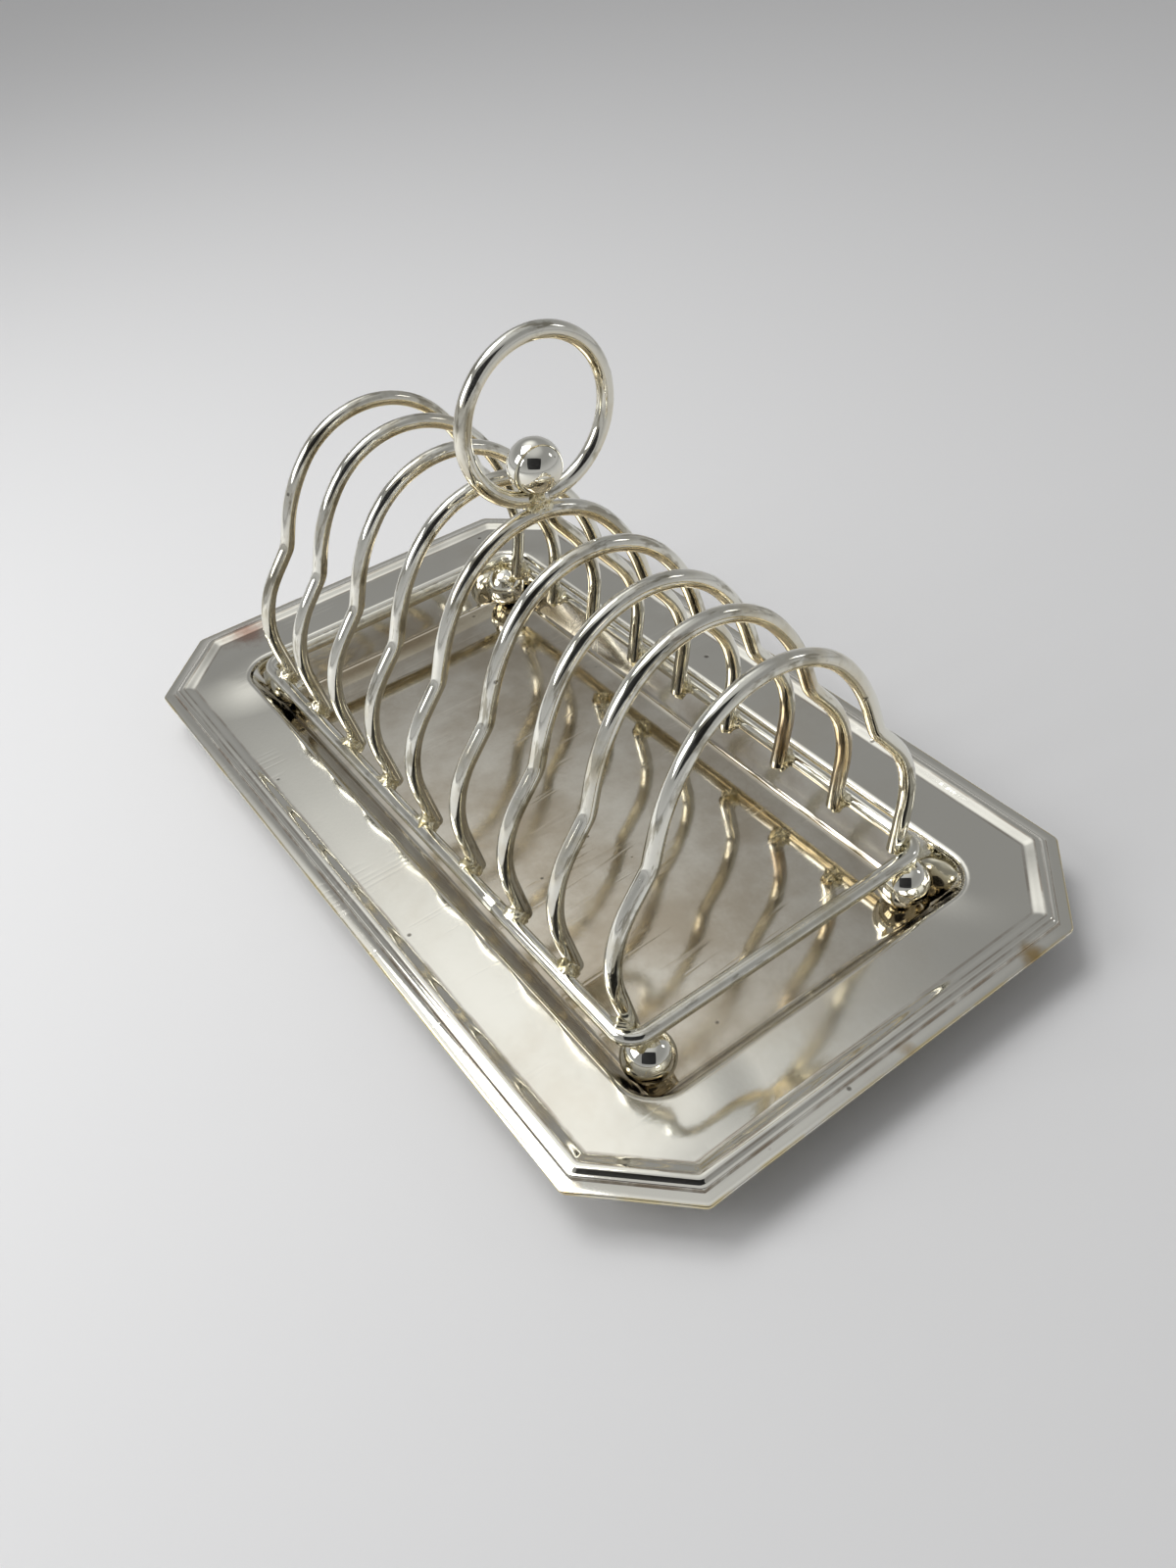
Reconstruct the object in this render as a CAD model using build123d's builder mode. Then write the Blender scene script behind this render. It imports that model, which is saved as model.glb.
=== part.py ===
"""Toast rack of bent wire on four ball feet, standing loose in the well of an eight-sided tray.

Frame: millimetres, +Z up, +X along the tray, origin on the table under the middle of the tray.
"""
from build123d import *
import os
from math import atan2, cos, radians, sin, sqrt, tan

# --- tray: pressed sheet with a stepped rim and a sunk well ---------------------------
TRAY_LENGTH = 250.0
TRAY_WIDTH = 150.0
TRAY_CORNER = 20.8          # how far each cut corner runs along both sides
EDGE_ROUND = 1.2            # rounding of the eight points of the outline
SHEET = 1.0
LIP_TOP = 12.5              # the flat outer lip stands this high above the table
LIP_WIDTH = 3.0
RIDGE_RISE = 1.5            # the raised moulding inside the lip
RIDGE_STEP = 0.9
RIDGE_WIDTH = 2.0
COVE_WIDTH = 3.2            # slope from the moulding down to the flat border
BORDER_RISE = 0.6
WELL_LENGTH = 203.0
WELL_WIDTH = 102.4
WELL_CORNER = 10.0
WALL_ANGLE = 31.0           # well wall, from upright

# --- wire rack -------------------------------------------------------------------------
WIRE = 4.0                  # one thickness of wire throughout
WIRE_GAP = 0.05             # film of solder between two wires that lie side by side
BALL = 13.0
BALL_BED = 0.5              # how deep a wire is bedded in a foot ball
REST_GAP = 0.1              # air under the feet, so that the loose rack and tray never overlap
FRAME_LENGTH = 180.5        # base frame, between the middles of its end rails
FRAME_BEND = 5.0
END_ARCH_SETBACK = 4.6      # last arch to the middle of the near end rail
FOOT_INSET = 5.0            # ball feet in from the long rails
FAR_FOOT_INSET = 3.0        # the far pair also sit in from the end rail

# --- toast arches, drawn from the top of the dome down one side ------------------------
ARCH_COUNT = 9
ARCH_PITCH = 20.7
ARCH_LEAN = (0, 1, 0.5, 0, 0, -0.5, 0, 2.5, 2.5)   # degrees back from upright, as soldered
ARCH_RISE = 72.8            # top of the dome above the rails, middles of the wires
FOOT_DROP = 1.0             # cut ends reach this far below the middle of the rail
DOME_RADIUS = 27.5
DOME_TURN = 50.0
FLANK_RADIUS = 46.0
FLANK_TURN = 23.0
NECK_LENGTH = 5.7
WAIST_RADIUS = 3.5
WAIST_TURN = 22.0
SHOULDER_LENGTH = 8.2
BULGE_RADIUS = 27.5
BULGE_TURN = 50.0

# --- ring handle and its ball ----------------------------------------------------------
RING_RADIUS = 19.0
RING_OFFSET = 3.8           # the ring is soldered a little to one side of the middle arch
HANDLE_BALL_OFFSET = 1.9
HANDLE_BALL_BED = 0.5

# --- solder ----------------------------------------------------------------------------
ARCH_SOLDER = 2.7           # radius of the bead at each foot of an arch
FOOT_SOLDER = 2.9
HANDLE_SOLDER = 2.8
HANDLE_BALL_SOLDER = 3.6

FLOOR_TOP = SHEET
BORDER_TOP = LIP_TOP + BORDER_RISE
WELL_DEPTH = BORDER_TOP - FLOOR_TOP
FOOT_BALL_Z = FLOOR_TOP + REST_GAP + BALL / 2
RAIL_Z = FOOT_BALL_Z + BALL / 2 + WIRE / 2 - BALL_BED
NEAR_RAIL_X = (ARCH_COUNT - 1) / 2 * ARCH_PITCH + END_ARCH_SETBACK
FAR_RAIL_X = NEAR_RAIL_X - FRAME_LENGTH
LEG_ANGLE = DOME_TURN + FLANK_TURN - WAIST_TURN + BULGE_TURN - 90

os.makedirs("parts", exist_ok=True)


def finish(block, node):
    """Name a finished sub-part and write it to its own file."""
    block.part.label = node
    export_step(block.part, f"parts/{node}.step")


# The half arch stands in its own X-Z drawing plane: x outwards, y up from the rail's middle.
with BuildLine() as half_arch:
    dome = JernArc((0, ARCH_RISE), (1, 0), DOME_RADIUS, -DOME_TURN)
    flank = JernArc(dome @ 1, dome % 1, FLANK_RADIUS, -FLANK_TURN)
    neck = Line(flank @ 1, flank @ 1 + (flank % 1) * NECK_LENGTH)
    waist = JernArc(neck @ 1, neck % 1, WAIST_RADIUS, WAIST_TURN)
    shoulder = Line(waist @ 1, waist @ 1 + (waist % 1) * SHOULDER_LENGTH)
    bulge = JernArc(shoulder @ 1, shoulder % 1, BULGE_RADIUS, -BULGE_TURN)
    leg_length = ((bulge @ 1).Y + FOOT_DROP) / cos(radians(LEG_ANGLE))
    leg = Line(bulge @ 1, bulge @ 1 + (bulge % 1) * leg_length)

with BuildLine() as arch_line:
    add(half_arch.line)
    mirror(half_arch.line, about=Plane.YZ)
arch_wire = arch_line.wire()

# The long rails lie against the outsides of the arches' legs.
FOOT_Y = (leg @ 1).X + FOOT_DROP * tan(radians(LEG_ANGLE))
RAIL_Y = FOOT_Y + (WIRE + WIRE_GAP) / cos(radians(LEG_ANGLE))


def arch_x(number):
    """Place of one arch along the rack, counted from the far end."""
    return (number - (ARCH_COUNT + 1) / 2) * ARCH_PITCH


def arch_plane(number):
    """Plane of one arch at the rails: its X runs across the rack and its Y up, leaning back."""
    lean = radians(ARCH_LEAN[number - 1])
    return Plane(origin=(arch_x(number), 0, RAIL_Z), x_dir=(0, 1, 0), z_dir=(cos(lean), 0, sin(lean)))


def rim_outline(inset, height):
    """The tray's eight-sided outline, drawn in from its edge, at a height."""
    with BuildSketch(Plane.XY.offset(height)) as outline:
        Rectangle(TRAY_LENGTH - 2 * inset, TRAY_WIDTH - 2 * inset)
        chamfer(outline.vertices(), length=TRAY_CORNER - (2 - sqrt(2)) * inset)
    return outline.sketch.face()


def well_outline(margin, height):
    """The rounded outline of the well at the level of the border."""
    with BuildSketch(Plane.XY.offset(height)) as outline:
        RectangleRounded(WELL_LENGTH + 2 * margin, WELL_WIDTH + 2 * margin, WELL_CORNER + margin)
    return outline.sketch.face()


# --- tray --------------------------------------------------------------------------------
ridge_outer = LIP_WIDTH + RIDGE_STEP
ridge_inner = ridge_outer + RIDGE_WIDTH
cove_inner = ridge_inner + COVE_WIDTH
wall_margin = SHEET / cos(radians(WALL_ANGLE))

with BuildPart() as tray:
    extrude(rim_outline(0, LIP_TOP - SHEET), amount=SHEET)
    fillet(tray.edges().filter_by(Axis.Z), EDGE_ROUND)
    loft([rim_outline(LIP_WIDTH, LIP_TOP), rim_outline(ridge_outer, LIP_TOP + RIDGE_RISE)])
    loft(
        [rim_outline(ridge_inner, LIP_TOP + RIDGE_RISE), rim_outline(cove_inner, BORDER_TOP)],
        mode=Mode.SUBTRACT,
    )
    # The underside follows the border up, so that lip and border are one thickness of sheet.
    extrude(rim_outline(ridge_outer, LIP_TOP - SHEET), amount=BORDER_RISE, mode=Mode.SUBTRACT)
    extrude(well_outline(wall_margin, BORDER_TOP), amount=-BORDER_TOP, taper=WALL_ANGLE)
    extrude(well_outline(0, BORDER_TOP), amount=-WELL_DEPTH, taper=WALL_ANGLE, mode=Mode.SUBTRACT)
finish(tray, "tray")

# --- base frame: one wire bent round into a closed rectangle -----------------------------
with BuildPart() as base_frame:
    with BuildLine(Plane.XY.offset(RAIL_Z)) as frame_line:
        FilletPolyline(
            (NEAR_RAIL_X, -RAIL_Y), (NEAR_RAIL_X, RAIL_Y), (FAR_RAIL_X, RAIL_Y), (FAR_RAIL_X, -RAIL_Y),
            radius=FRAME_BEND, close=True,
        )
    frame_wire = frame_line.wire()
    with BuildSketch(Plane(origin=frame_wire @ 0, z_dir=frame_wire % 0)):
        Circle(WIRE / 2)
    sweep(path=frame_wire)
finish(base_frame, "base_frame")

# --- arches: nine wires bent to the outline of a slice of bread --------------------------
arches = {}
for number in range(1, ARCH_COUNT + 1):
    path = arch_plane(number).from_local_coords(arch_wire)
    with BuildPart() as arch:
        with BuildSketch(Plane(origin=path @ 0, z_dir=path % 0)):
            Circle(WIRE / 2)
        sweep(path=path)
    arches[number] = arch
    finish(arch, f"arch_{number}")

# --- ring handle, standing on the middle arch --------------------------------------------
middle_arch = (ARCH_COUNT + 1) // 2
dome_centre_z = RAIL_Z + ARCH_RISE - DOME_RADIUS
ring_drop = DOME_RADIUS + RING_RADIUS + WIRE + WIRE_GAP
ring_z = dome_centre_z + sqrt(ring_drop**2 - RING_OFFSET**2)
with BuildPart() as ring_handle:
    with BuildSketch(Plane.XZ.offset(-RING_OFFSET)):
        with Locations((0, ring_z + RING_RADIUS)):
            Circle(WIRE / 2)
    revolve(axis=Axis((0, RING_OFFSET, ring_z), (1, 0, 0)))
finish(ring_handle, "ring_handle")

# --- ball on the inside of the ring, over the middle arch --------------------------------
ball_side = RING_OFFSET - HANDLE_BALL_OFFSET
seat_drop = sqrt((RING_RADIUS - WIRE / 2) ** 2 - ball_side**2)
handle_ball_z = ring_z - seat_drop + BALL / 2 - HANDLE_BALL_BED
with BuildPart() as handle_ball:
    with Locations((0, HANDLE_BALL_OFFSET, handle_ball_z)):
        Sphere(BALL / 2)
    add(ring_handle.part, mode=Mode.SUBTRACT)
finish(handle_ball, "handle_ball")

# --- four ball feet under the end rails --------------------------------------------------
foot_y = RAIL_Y - FOOT_INSET
foot_places = {
    "foot_near_left": (NEAR_RAIL_X, -foot_y),
    "foot_near_right": (NEAR_RAIL_X, foot_y),
    "foot_far_left": (FAR_RAIL_X + FAR_FOOT_INSET, -foot_y),
    "foot_far_right": (FAR_RAIL_X + FAR_FOOT_INSET, foot_y),
}
foot_balls = {}
for node, (foot_x, foot_side) in foot_places.items():
    with BuildPart() as foot_ball:
        with Locations((foot_x, foot_side, FOOT_BALL_Z)):
            Sphere(BALL / 2)
        add(base_frame.part, mode=Mode.SUBTRACT)
    foot_balls[node] = foot_ball
    finish(foot_ball, node)

# --- solder: beads where the wires and balls are joined, cut to the metal they join -------
for node, side in {"arch_solder_left": -1, "arch_solder_right": 1}.items():
    with BuildPart() as arch_solder:
        joints = [(arch_x(number), side * (FOOT_Y + RAIL_Y) / 2, RAIL_Z) for number in arches]
        with Locations(*joints):
            Sphere(ARCH_SOLDER)
        add(base_frame.part, mode=Mode.SUBTRACT)
        for arch in arches.values():
            add(arch.part, mode=Mode.SUBTRACT)
    finish(arch_solder, node)

with BuildPart() as foot_solder:
    for node, (foot_x, foot_side) in foot_places.items():
        seat_x = foot_x - (FAR_FOOT_INSET if "far" in node else 0)
        with Locations((seat_x, foot_side, RAIL_Z - WIRE / 2)):
            Sphere(FOOT_SOLDER)
    add(base_frame.part, mode=Mode.SUBTRACT)
    add(arches[ARCH_COUNT].part, mode=Mode.SUBTRACT)
    for foot_ball in foot_balls.values():
        add(foot_ball.part, mode=Mode.SUBTRACT)
finish(foot_solder, "foot_solder")

ring_tilt = atan2(RING_OFFSET, ring_z - dome_centre_z)
ring_seat = DOME_RADIUS + WIRE / 2
with BuildPart() as handle_solder:
    with Locations((0, ring_seat * sin(ring_tilt), dome_centre_z + ring_seat * cos(ring_tilt))):
        Sphere(HANDLE_SOLDER)
    with Locations((0, HANDLE_BALL_OFFSET, ring_z - seat_drop)):
        Sphere(HANDLE_BALL_SOLDER)
    add(ring_handle.part, mode=Mode.SUBTRACT)
    add(handle_ball.part, mode=Mode.SUBTRACT)
    add(arches[middle_arch].part, mode=Mode.SUBTRACT)
finish(handle_solder, "handle_solder")

print("rail half width", RAIL_Y, "rail height", RAIL_Z, "near and far rail", NEAR_RAIL_X, FAR_RAIL_X)
print("leg angle", LEG_ANGLE, "leg", leg_length, "ring", ring_z, "handle ball", handle_ball_z)
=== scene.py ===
"""Looks of a silver-plated wire toast rack standing in its cut-cornered tray.

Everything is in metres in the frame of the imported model: +Z up, +X along the tray towards the
near end, origin on the table under the middle of the tray. Wires are bent, the tray is pressed
and solder is run with mesh operators; finishes are worked out from Object coordinates.
"""
import logging
import math
from collections.abc import Iterable
from dataclasses import dataclass, field
from enum import Enum
from typing import Protocol

import bmesh
import bpy
from mathutils import Matrix, Vector, noise

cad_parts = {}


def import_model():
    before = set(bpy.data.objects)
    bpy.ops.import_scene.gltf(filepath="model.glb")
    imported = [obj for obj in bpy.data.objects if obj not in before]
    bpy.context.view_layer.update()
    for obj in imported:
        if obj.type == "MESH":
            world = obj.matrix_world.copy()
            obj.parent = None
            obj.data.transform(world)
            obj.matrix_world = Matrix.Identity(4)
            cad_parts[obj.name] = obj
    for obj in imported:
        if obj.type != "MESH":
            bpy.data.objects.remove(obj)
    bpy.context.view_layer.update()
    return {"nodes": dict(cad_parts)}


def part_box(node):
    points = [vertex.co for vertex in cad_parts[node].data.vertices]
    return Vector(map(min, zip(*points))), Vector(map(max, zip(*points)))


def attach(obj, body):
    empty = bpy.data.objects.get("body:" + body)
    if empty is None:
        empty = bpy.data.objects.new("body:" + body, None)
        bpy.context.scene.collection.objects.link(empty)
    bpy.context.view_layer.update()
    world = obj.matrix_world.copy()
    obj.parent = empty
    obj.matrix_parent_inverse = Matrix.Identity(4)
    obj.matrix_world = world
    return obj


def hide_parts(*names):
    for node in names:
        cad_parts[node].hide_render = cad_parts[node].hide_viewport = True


MM = 0.001
NOISE_SEED = 7              # without one, noise_vector differs from run to run
WIRE_SIDES = 32             # sides of a wire's round section
WELD = 0.002 * MM           # points nearer than this are one point
FEET = ("foot_near_left", "foot_near_right", "foot_far_left", "foot_far_right")

Colour = tuple[float, float, float]
Place = tuple[float, float, float]
Steps = list[tuple[float, float]]       # inward and upward length of each step
Socket = bpy.types.NodeSocket
Source = float | tuple | Socket         # a value, or the socket that it comes from

log = logging.getLogger("toast_rack")


class Body(Enum):
    """The two bodies that a piece can ride on."""

    TRAY = "tray"
    RACK = "rack"


class Slot(Enum):
    """The record's material slots."""

    TRAY = "tray_plate"
    WIRE = "wire_plate"
    BALL = "ball_plate"
    SOLDER = "solder"


class Side(Enum):
    """The two long sides of the rack, as signs along Y."""

    LEFT = -1
    RIGHT = 1


# --- shared ways of making a piece ---------------------------------------------------------


def rgba(colour: Colour) -> tuple[float, float, float, float]:
    """The colour with full opacity."""
    return (*colour, 1.0)


def towards(azimuth: float, elevation: float) -> Vector:
    """Unit vector at an azimuth from +X towards +Y and at an elevation, both in degrees."""
    around, up = math.radians(azimuth), math.radians(elevation)
    return Vector((math.cos(around) * math.cos(up), math.sin(around) * math.cos(up), math.sin(up)))


def only(kind: type, items: Iterable) -> list:
    """The items of one kind, such as the edges among all that an operator made."""
    return [item for item in items if isinstance(item, kind)]


def ring_verts(ring: list[bmesh.types.BMEdge]) -> list[bmesh.types.BMVert]:
    """The vertices of a ring of edges, each once."""
    return list({vert for edge in ring for vert in edge.verts})


def round_edges(bm: bmesh.types.BMesh, edges: list[bmesh.types.BMEdge], reach: float) -> None:
    """Bevel edges round as far as a reach to both sides."""
    bmesh.ops.bevel(bm, geom=edges, offset=reach, affect="EDGES", segments=3, profile=0.5, material=-1)


def cut_corners(
    bm: bmesh.types.BMesh, corners: list[bmesh.types.BMVert], reach: float, segments: int
) -> None:
    """Cut corners back by a reach, straight with one segment and round with more."""
    bmesh.ops.bevel(
        bm, geom=corners, offset=reach, affect="VERTICES", segments=segments, profile=0.5, material=-1,
    )


def as_piece(bm: bmesh.types.BMesh, name: str, material: bpy.types.Material) -> bpy.types.Object:
    """Turn a finished bmesh into an object at the origin.

    Args:
        bm: The mesh being built, which is freed here.
        name: Name of the object.
        material: Its only material.

    Returns:
        The new object, linked to the scene.
    """
    mesh = bpy.data.meshes.new(name)
    bm.to_mesh(mesh)
    bm.free()
    mesh.materials.append(material)
    piece = bpy.data.objects.new(name, mesh)
    bpy.context.scene.collection.objects.link(piece)
    return piece


def register(piece: bpy.types.Object, body: Body, node: str) -> bpy.types.Object:
    """Put a piece on its body and let it stand for its CAD node.

    Args:
        piece: The finished piece.
        body: The body that carries it.
        node: The CAD node that it stands for.

    Returns:
        The same piece.
    """
    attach(piece, body.value)
    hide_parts(node)
    log.info("%s stands for %s, %d faces", piece.name, node, len(piece.data.polygons))
    return piece


def on_rack(
    bm: bmesh.types.BMesh, name: str, material: bpy.types.Material, node: str
) -> bpy.types.Object:
    """Turn a finished bmesh into a piece of the rack that stands for a CAD node."""
    return register(as_piece(bm, name, material), Body.RACK, node)


@dataclass(frozen=True)
class Waver:
    """Smooth unevenness, because a wire bent by hand is never quite true."""

    amount: float                       # largest move
    grain: float                        # size of the waves

    def on(self, bm: bmesh.types.BMesh, seed: float) -> None:
        """Move every vertex a little.

        Args:
            bm: The mesh to change.
            seed: Shifts the waves, so that equal pieces differ.
        """
        shift = Vector((seed, 2.7 * seed, 5.1 * seed))      # unlike factors move it off the diagonal
        for vert in bm.verts:
            vert.co += noise.noise_vector(vert.co / self.grain + shift) * self.amount


class Wire:
    """A round wire made by drawing one ring of edges along straight runs and bends."""

    def __init__(self, place: Vector, heading: Vector, axis: Vector, radius: float) -> None:
        """Start a wire.

        Args:
            place: Middle of the first ring.
            heading: Direction in which the wire sets out.
            axis: Axis that every bend turns about.
            radius: Radius of the wire.
        """
        self.bm = bmesh.new()
        self.place = place.copy()
        self.heading = heading.normalized()
        self.axis = axis.normalized()
        stand = Matrix.Translation(place) @ self.heading.to_track_quat("Z", "Y").to_matrix().to_4x4()
        bmesh.ops.create_circle(self.bm, segments=WIRE_SIDES, radius=radius, matrix=stand)
        self.ring = self.bm.edges[:]

    def run(self, length: float, parts: int = 1) -> None:
        """Draw the wire straight on.

        Args:
            length: Length of the run.
            parts: Number of equal pieces it is divided into.
        """
        for _ in range(parts):
            grown = bmesh.ops.extrude_edge_only(self.bm, edges=self.ring)["geom"]
            verts = only(bmesh.types.BMVert, grown)
            bmesh.ops.translate(self.bm, vec=self.heading * length / parts, verts=verts)
            edges = only(bmesh.types.BMEdge, grown)
            self.ring = [edge for edge in edges if set(edge.verts) <= set(verts)]
        self.place += self.heading * length

    def bend(self, radius: float, turn: float, parts: int) -> None:
        """Bend the wire about its axis.

        Args:
            radius: Radius of the bend at the middle of the wire.
            turn: Angle in degrees, positive to the left seen against the axis.
            parts: Number of steps.
        """
        angle = math.radians(turn)
        centre = self.place + self.axis.cross(self.heading) * math.copysign(radius, turn)
        ring = ring_verts(self.ring) + self.ring
        bent = bmesh.ops.spin(self.bm, geom=ring, cent=centre, axis=self.axis, angle=angle, steps=parts)
        self.ring = only(bmesh.types.BMEdge, bent["geom_last"])
        rotation = Matrix.Rotation(angle, 3, self.axis)
        self.place = centre + rotation @ (self.place - centre)
        self.heading = rotation @ self.heading

    def swell(self, factor: float) -> None:
        """Scale the last ring about its middle."""
        space = Matrix.Translation(-self.place)
        bmesh.ops.scale(self.bm, vec=(factor,) * 3, space=space, verts=ring_verts(self.ring))

    def cut(self, edge: float) -> None:
        """Close the last ring as a cut end with a softened edge."""
        end = bmesh.ops.contextual_create(self.bm, geom=self.ring)["faces"]
        round_edges(self.bm, end[0].edges[:], edge)

    def weld(self) -> None:
        """Make rings that lie on each other one ring, as where a closed wire meets its start."""
        bmesh.ops.remove_doubles(self.bm, verts=self.bm.verts, dist=WELD)

    def shaded(self) -> bmesh.types.BMesh:
        """Weld the wire, turn its faces outwards and shade all but its cut ends smooth.

        Returns:
            The finished mesh.
        """
        self.weld()
        bmesh.ops.recalc_face_normals(self.bm, faces=self.bm.faces)
        for face in self.bm.faces:
            face.smooth = len(face.verts) <= 4
        return self.bm


# --- finishes ------------------------------------------------------------------------------


class Tree:
    """A node tree with short ways to add, fill and link nodes."""

    def __init__(self, tree: bpy.types.NodeTree) -> None:
        """Keep the tree that is being built."""
        self.tree = tree

    def add(
        self, kind: str, inputs: dict[str | int, Source] | None = None, **settings: object
    ) -> bpy.types.Node:
        """Add a node.

        Args:
            kind: Type of node, such as ShaderNodeMath.
            inputs: For some of its inputs, by name or number, a value or the socket to link.
            settings: The node's own settings.

        Returns:
            The new node.
        """
        node = self.tree.nodes.new(kind)
        for name, value in settings.items():
            setattr(node, name, value)
        for key, value in (inputs or {}).items():
            if isinstance(value, Socket):
                self.tree.links.new(value, node.inputs[key])
            else:
                node.inputs[key].default_value = value
        return node

    def maths(self, operation: str, first: Source, second: Source = 0.0) -> Socket:
        """Result of a Math node on two values."""
        return self.add("ShaderNodeMath", {0: first, 1: second}, operation=operation).outputs[0]

    def vectors(self, operation: str, first: Source, second: Source = (0.0, 0.0, 0.0)) -> bpy.types.Node:
        """Vector Math node on two vectors."""
        return self.add("ShaderNodeVectorMath", {0: first, 1: second}, operation=operation)

    def height(self, vector: Socket) -> Socket:
        """The part of a vector along Z."""
        return self.add("ShaderNodeSeparateXYZ", {0: vector}).outputs[2]

    def texture(self, vector: Socket, scale: Source, detail: float, **more: float) -> Socket:
        """Value of a noise texture, with more of its inputs by name."""
        inputs = {"Vector": vector, "Scale": scale, "Detail": detail, **more}
        return self.add("ShaderNodeTexNoise", inputs).outputs[0]

    def blend(self, share: Source, first: Source, second: Source) -> Socket:
        """Colour mixed from two colours by a share."""
        return self.add("ShaderNodeMix", {0: share, 6: first, 7: second}, data_type="RGBA").outputs[2]

    def tint(self, base: Source, colour: Colour, mask: Socket, share: float) -> Socket:
        """A base colour with another colour laid over it where a mask is bright."""
        return self.blend(self.maths("MULTIPLY", mask, share), base, rgba(colour))

    def between(self, value: Source, low: Source, high: Source) -> Socket:
        """Value mapped smoothly from low..high to 0..1."""
        inputs = {"Value": value, "From Min": low, "From Max": high}
        return self.add("ShaderNodeMapRange", inputs, interpolation_type="SMOOTHSTEP").outputs[0]

    def use(self, effect: bpy.types.NodeTree, vector: Socket, **inputs: Source) -> Socket:
        """Mask of an effect group that is placed with its own values."""
        return self.add("ShaderNodeGroup", {"Vector": vector, **inputs}, node_tree=effect).outputs[0]


class EffectTree(Tree):
    """The tree of an effect group with a vector input, more inputs and one Mask output."""

    def __init__(self, name: str, **inputs: float | Place) -> None:
        """Start the group.

        Args:
            name: Name of the group.
            inputs: Further inputs with their usual values, numbers or vectors.
        """
        super().__init__(bpy.data.node_groups.new(name, "ShaderNodeTree"))
        sockets = self.tree.interface
        sockets.new_socket("Vector", in_out="INPUT", socket_type="NodeSocketVector")
        for key, value in inputs.items():
            kind = "NodeSocketVector" if isinstance(value, tuple) else "NodeSocketFloat"
            sockets.new_socket(key, in_out="INPUT", socket_type=kind).default_value = value
        sockets.new_socket("Mask", in_out="OUTPUT", socket_type="NodeSocketFloat")
        self.start = self.add("NodeGroupInput")

    def given(self, name: str) -> Socket:
        """The socket that an input of the group comes from."""
        return self.start.outputs[name]

    def give(self, mask: Socket) -> bpy.types.NodeTree:
        """Put the mask out and hand over the finished group."""
        self.add("NodeGroupOutput", {0: mask})
        return self.tree


class Effects:
    """Effects that more than one finish uses, each built once as a node group."""

    def __init__(self) -> None:
        """Build every group."""
        self.clouds = self._clouds()
        self.scratches = self._scratches()
        self.specks = self._specks()
        self.stain = self._stain()
        self.inset = self._inset()

    @staticmethod
    def _clouds() -> bpy.types.NodeTree:
        """Soft patches, as of tarnish: bright where rough noise lies above a level.

        Returns:
            The group.
        """
        tree = EffectTree("clouds", Scale=30.0, Low=0.5, High=0.7)
        patches = tree.texture(tree.given("Vector"), tree.given("Scale"), 6.0, Roughness=0.62)
        return tree.give(tree.between(patches, tree.given("Low"), tree.given("High")))

    @staticmethod
    def _scratches() -> bpy.types.NodeTree:
        """Long thin lines that run at a slant in the X-Y plane, as from wiping and cutlery.

        Returns:
            The group.
        """
        tree = EffectTree(
            "scratches", Scale=60.0, Slant=(0.0, 0.0, 0.0), Stretch=(1.0, 0.04, 1.0), Width=0.01,
        )
        place = tree.given("Vector")
        slanted = {"Vector": place, "Rotation": tree.given("Slant"), "Scale": tree.given("Stretch")}
        turned = tree.add("ShaderNodeMapping", slanted).outputs[0]
        level = tree.texture(turned, tree.given("Scale"), 2.0, Distortion=0.3)
        off = tree.maths("ABSOLUTE", tree.maths("SUBTRACT", level, 0.5))
        lines = tree.between(off, tree.given("Width"), 0.0)
        broken = tree.between(tree.texture(place, 45.0, 2.0), 0.5, 0.62)
        return tree.give(tree.maths("MULTIPLY", lines, broken))

    @staticmethod
    def _specks() -> bpy.types.NodeTree:
        """Scattered pits of different sizes.

        Returns:
            The group.
        """
        tree = EffectTree("specks", Scale=200.0, Share=0.2, Size=0.25)
        inputs = {"Vector": tree.given("Vector"), "Scale": tree.given("Scale")}
        cells = tree.add("ShaderNodeTexVoronoi", inputs)
        picked = tree.add("ShaderNodeSeparateColor", {0: cells.outputs["Color"]})
        kept = tree.maths("LESS_THAN", picked.outputs[0], tree.given("Share"))
        reach = tree.maths("MULTIPLY", picked.outputs[1], tree.given("Size"))
        dot = tree.between(cells.outputs["Distance"], reach, tree.maths("MULTIPLY", reach, 0.4))
        return tree.give(tree.maths("MULTIPLY", kept, dot))

    @staticmethod
    def _stain() -> bpy.types.NodeTree:
        """One ragged stain about a point.

        Returns:
            The group.
        """
        tree = EffectTree("stain", Middle=(0.0, 0.0, 0.0), Reach=0.01)
        ragged = tree.texture(tree.given("Vector"), 260.0, 5.0)
        off = tree.vectors("DISTANCE", tree.given("Vector"), tree.given("Middle"))
        share = tree.maths("DIVIDE", off.outputs["Value"], tree.given("Reach"))
        torn = tree.maths("ADD", share, tree.maths("MULTIPLY", ragged, 1.2))
        return tree.give(tree.between(torn, 1.6, 0.7))

    @staticmethod
    def _inset() -> bpy.types.NodeTree:
        """How far a point lies inside a rectangle with cut corners, seen from above.

        Returns:
            The group.
        """
        tree = EffectTree("inset", Half=(0.0, 0.0, 0.0), Cut=0.0)
        across = tree.vectors("ABSOLUTE", tree.given("Vector")).outputs[0]
        gap = tree.vectors("SUBTRACT", tree.given("Half"), across).outputs[0]
        end, side, _ = tree.add("ShaderNodeSeparateXYZ", {0: gap}).outputs
        slanted = tree.maths("SUBTRACT", tree.maths("ADD", end, side), tree.given("Cut"))
        corner = tree.maths("DIVIDE", slanted, math.sqrt(2))
        return tree.give(tree.maths("MINIMUM", tree.maths("MINIMUM", end, side), corner))


@dataclass(frozen=True)
class Stain:
    """A coloured mark at a place on the metal."""

    middle: Place
    reach: float
    colour: Colour
    strength: float = 0.8


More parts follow.
